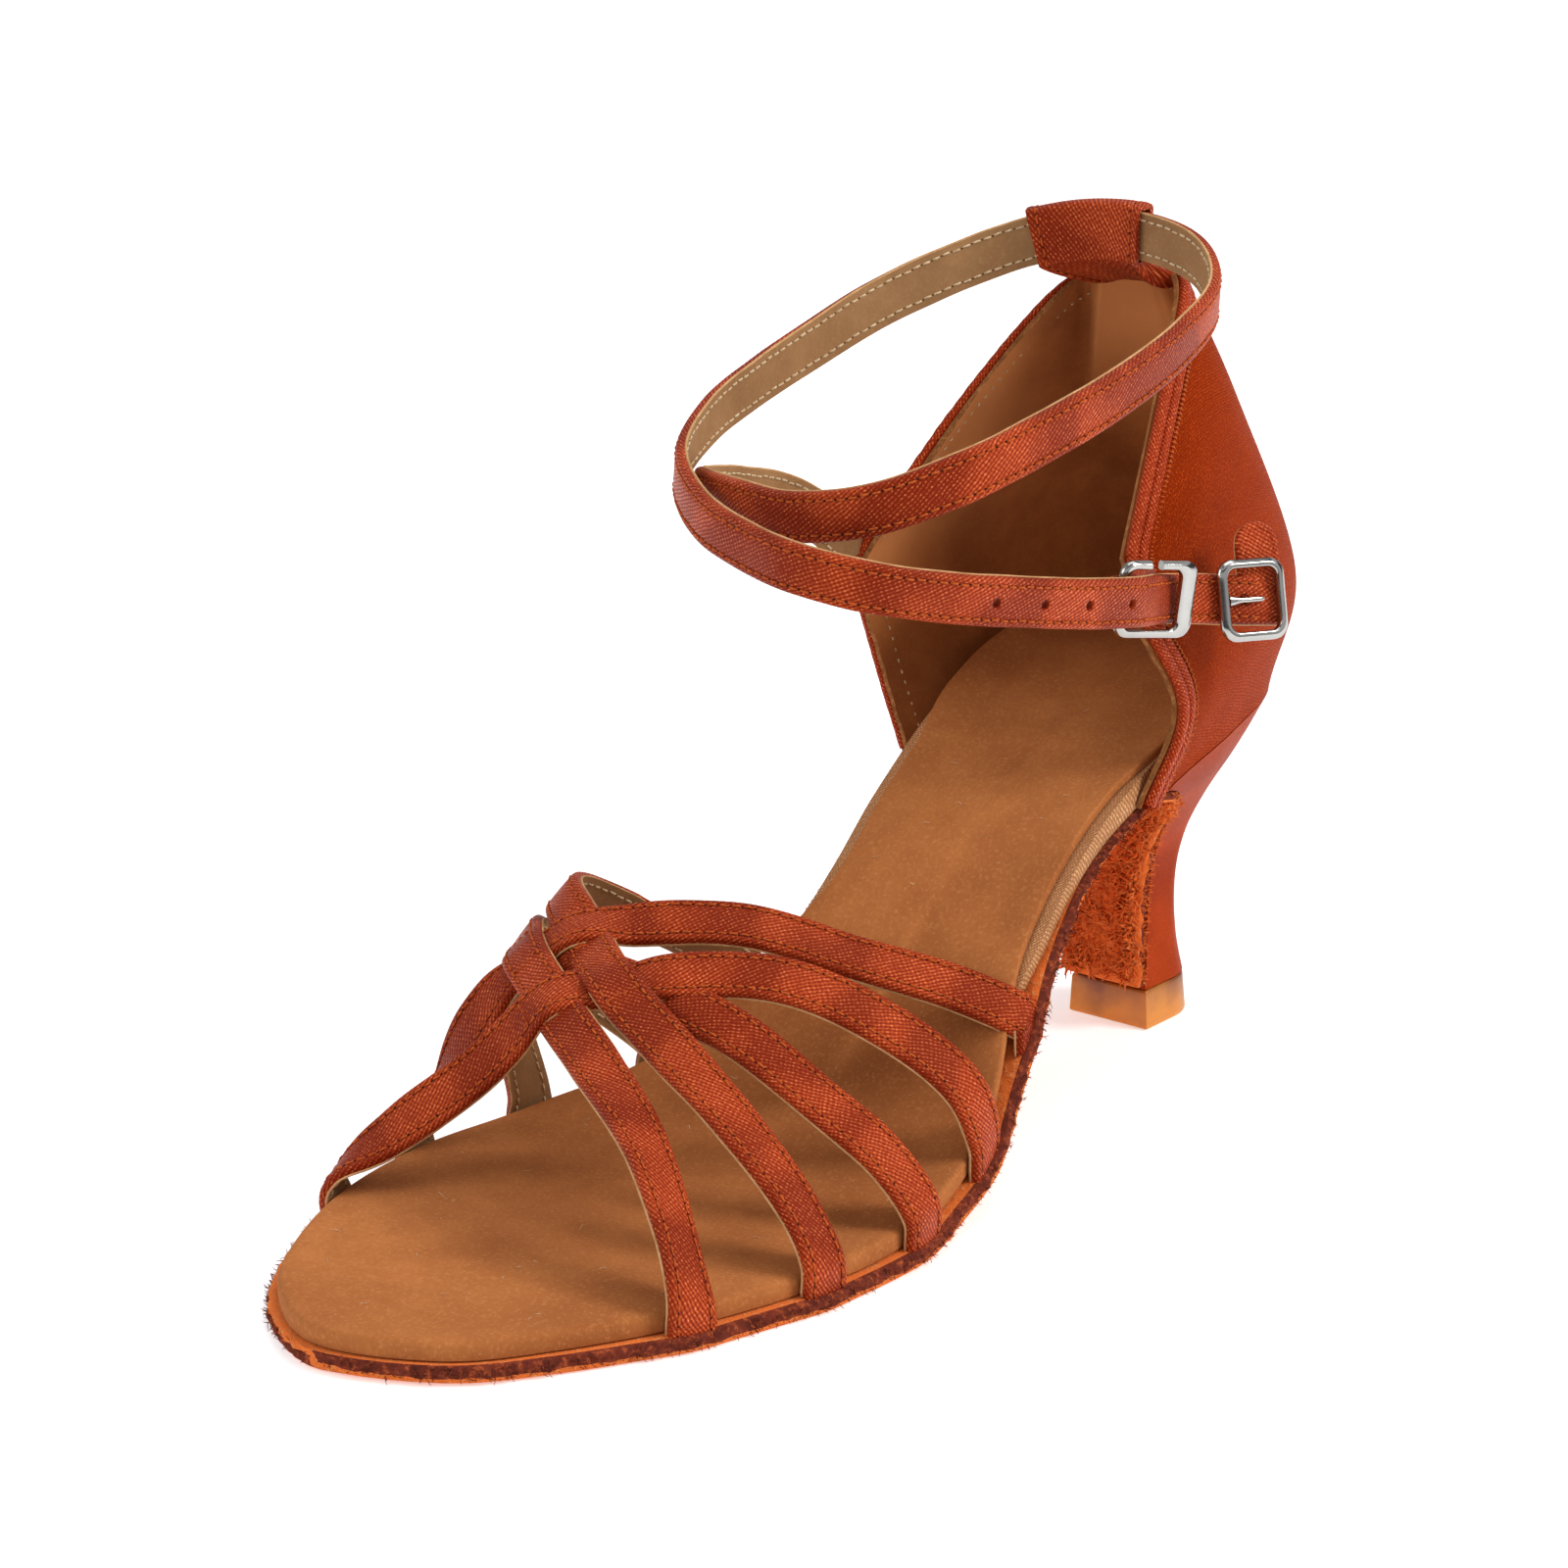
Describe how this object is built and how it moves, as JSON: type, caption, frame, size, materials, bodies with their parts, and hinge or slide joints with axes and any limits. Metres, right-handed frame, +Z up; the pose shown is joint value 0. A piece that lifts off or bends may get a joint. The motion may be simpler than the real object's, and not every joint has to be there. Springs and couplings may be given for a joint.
{
  "type": "ballroom dance shoe",
  "caption": "Open-toe satin dance sandal for the left foot, with a woven strap front, closed heel counter, ankle strap with hook ring and buckle, and flared heel.",
  "frame": {"origin": "middle of the heel tip's resting face, on the floor", "axes": "+Z up, -Y towards the toe, +X towards the outer side of the foot"},
  "size_m": [0.0918, 0.2272, 0.1438],
  "materials": {
    "satin": "burnt orange satin",
    "heel_satin": "burnt orange satin pulled over the heel",
    "tan_satin": "tan twill",
    "tan_suede": "tan suede",
    "sole_suede": "coarse orange-brown suede",
    "amber_tip": "cloudy amber",
    "nickel": "polished"
  },
  "bodies": {
    "root": {"outsole": "sole_suede", "insole_board": "tan_satin", "sock": "tan_suede", "heel": "heel_satin", "heel_tip": "amber_tip", "heel_counter": "satin", "front_straps": "satin", "ankle_strap": "satin", "back_loop": "satin", "hook_tab": "satin", "hook_ring": "nickel", "buckle_frame": "nickel", "buckle_prong": "nickel"}
  },
  "joints": []
}
